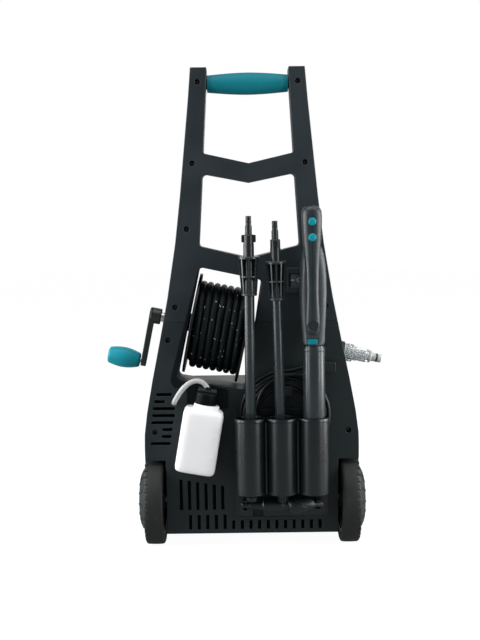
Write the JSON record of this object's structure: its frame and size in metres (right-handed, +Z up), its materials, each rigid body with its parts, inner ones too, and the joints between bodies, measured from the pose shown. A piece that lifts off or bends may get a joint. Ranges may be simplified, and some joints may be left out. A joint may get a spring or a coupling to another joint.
{
  "type": "pressure washer",
  "caption": "Upright trolley pressure washer with a crank hose reel, detergent bottle, lances and trigger gun in rear cups, a water inlet and a coiled mains lead.",
  "frame": {"origin": "middle of the front foot's underside, on the floor", "axes": "+Z up, +Y out of the plain front cover, -Y out of the rear side with the reel, bottle, lances and gun, +X towards the water inlet"},
  "size_m": [0.5154, 0.357, 0.88],
  "materials": {
    "shell": "fine texture, satin",
    "frame": "fine texture, satin",
    "foot": "matte",
    "grip_teal": "fine texture, satin",
    "teal": "satin",
    "steel": "zinc plated",
    "tyre": "moulded tread",
    "rim": "satin",
    "reel": "satin",
    "hose": "satin rubber cover",
    "bush": "plain bearing plastic",
    "brass": "machined",
    "bottle": "translucent white blow moulding",
    "cap": "ribbed",
    "tube": "soft clear-grey tube",
    "holder": "satin",
    "lance": "satin",
    "sleeve": "satin sleeve",
    "gun": "fine texture, satin",
    "switch": "satin",
    "rocker": "gloss",
    "clear": "clear moulded plastic",
    "coupler": "pale grey moulded plastic",
    "cord": "satin PVC jacket",
    "plug": "matte",
    "winding": "enamelled copper winding",
    "iron": "laminated core",
    "fan": "plain",
    "alloy": "die cast"
  },
  "bodies": {
    "chassis": {"upper_frame_rear": "frame", "upper_frame_front": "frame", "rear_cover": "shell", "front_cover": "shell", "front_accent": "teal", "base_tray": "shell", "front_foot": "foot", "handle_grip": "grip_teal", "frame_screws": "steel", "wheel_axle": "steel", "reel_bushes": "bush", "reel_union": "brass", "bottle_cap": "cap", "suction_tube": "tube", "accessory_holder": "holder", "switch_housing": "switch", "inlet_adapter": "brass", "inlet_filter": "clear", "inlet_coupler": "coupler", "cord_gland": "plug", "cord_lead": "cord", "cord_coil": "cord", "cord_plug": "plug", "motor_can": "steel", "motor_stator": "winding", "pump_body": "alloy", "pump_pistons": "steel", "pump_head": "brass", "water_hoses": "hose"},
    "wheel_left": {"wheel_rim_left": "rim", "tyre_left": "tyre", "hub_cap_left": "rim"},
    "wheel_right": {"wheel_rim_right": "rim", "tyre_right": "tyre", "hub_cap_right": "rim"},
    "reel": {"reel_drum": "reel", "reel_hose": "hose", "reel_shaft": "steel", "crank_arm": "reel", "crank_pin": "steel"},
    "crank_handle": {"crank_grip": "teal"},
    "detergent_bottle": {"bottle": "bottle"},
    "lance_a": {"lance_a_coupler": "lance", "lance_a_tube": "sleeve", "lance_a_nozzle": "lance"},
    "lance_b": {"lance_b_coupler": "lance", "lance_b_tube": "sleeve"},
    "jet_b": {"lance_b_nozzle": "lance"},
    "gun": {"gun_shell_left": "gun", "gun_shell_right": "gun", "gun_barrel": "sleeve", "gun_valve": "brass", "gun_caps": "teal"},
    "trigger": {"gun_trigger": "lance"},
    "latch": {"gun_latch": "teal"},
    "spare": {"spare_nozzle": "lance"},
    "rocker": {"switch_rocker": "rocker"},
    "motor": {"motor_rotor": "iron", "motor_fan": "fan", "swash_plate": "steel"}
  },
  "joints": [
    {"name": "wheel_left_roll", "type": "hinge", "parent": "chassis", "child": "wheel_left", "pos_m": [-0.163, -0.205, 0.084], "axis": [1, 0, 0], "continuous": true},
    {"name": "wheel_right_roll", "type": "hinge", "parent": "chassis", "child": "wheel_right", "pos_m": [0.163, -0.205, 0.084], "axis": [1, 0, 0], "continuous": true},
    {"name": "reel_wind", "type": "hinge", "parent": "chassis", "child": "reel", "pos_m": [-0.106, -0.19, 0.4155], "axis": [0.9799, 0, -0.1994], "continuous": true},
    {"name": "crank_handle_spin", "type": "hinge", "parent": "reel", "child": "crank_handle", "pos_m": [-0.12354, -0.19, 0.32927], "axis": [0.9799, 0, -0.1994], "continuous": true},
    {"name": "motor_run", "type": "hinge", "parent": "chassis", "child": "motor", "pos_m": [0.078, -0.11, 0.2], "axis": [0, 0, 1], "continuous": true},
    {"name": "bottle_unscrew", "type": "slide", "parent": "chassis", "child": "detergent_bottle", "axis": [-0.1736, 0, -0.9848], "range_m": [0, 0.02]},
    {"name": "lance_a_lift", "type": "slide", "parent": "chassis", "child": "lance_a", "axis": [0, 0, 1], "range_m": [0, 0.145]},
    {"name": "lance_b_lift", "type": "slide", "parent": "chassis", "child": "lance_b", "axis": [-0.0192, 0, 0.9998], "range_m": [0, 0.145]},
    {"name": "lance_b_jet_twist", "type": "hinge", "parent": "lance_b", "child": "jet_b", "pos_m": [0.0537, -0.3, 0.115], "axis": [-0.0192, 0, 0.9998], "range_deg": [0, 90]},
    {"name": "gun_lift", "type": "slide", "parent": "chassis", "child": "gun", "axis": [0, 0, 1], "range_m": [0, 0.14]},
    {"name": "trigger_pull", "type": "hinge", "parent": "gun", "child": "trigger", "pos_m": [0.109, -0.3, 0.548], "axis": [1, 0, 0], "range_deg": [0, 12], "stiffness_Nm_per_rad": 0.4, "springref_deg": -11.46},
    {"name": "latch_press", "type": "slide", "parent": "gun", "child": "latch", "axis": [0, 1, 0], "range_m": [0, 0.003], "stiffness_N_per_m": 300, "springref_m": -0.002},
    {"name": "spare_nozzle_pull", "type": "slide", "parent": "chassis", "child": "spare", "axis": [0, -1, 0], "range_m": [0, 0.04]},
    {"name": "rocker_tilt", "type": "hinge", "parent": "chassis", "child": "rocker", "pos_m": [0.083, -0.243, 0.496], "axis": [0, 0, -1], "range_deg": [0, 14]}
  ]
}
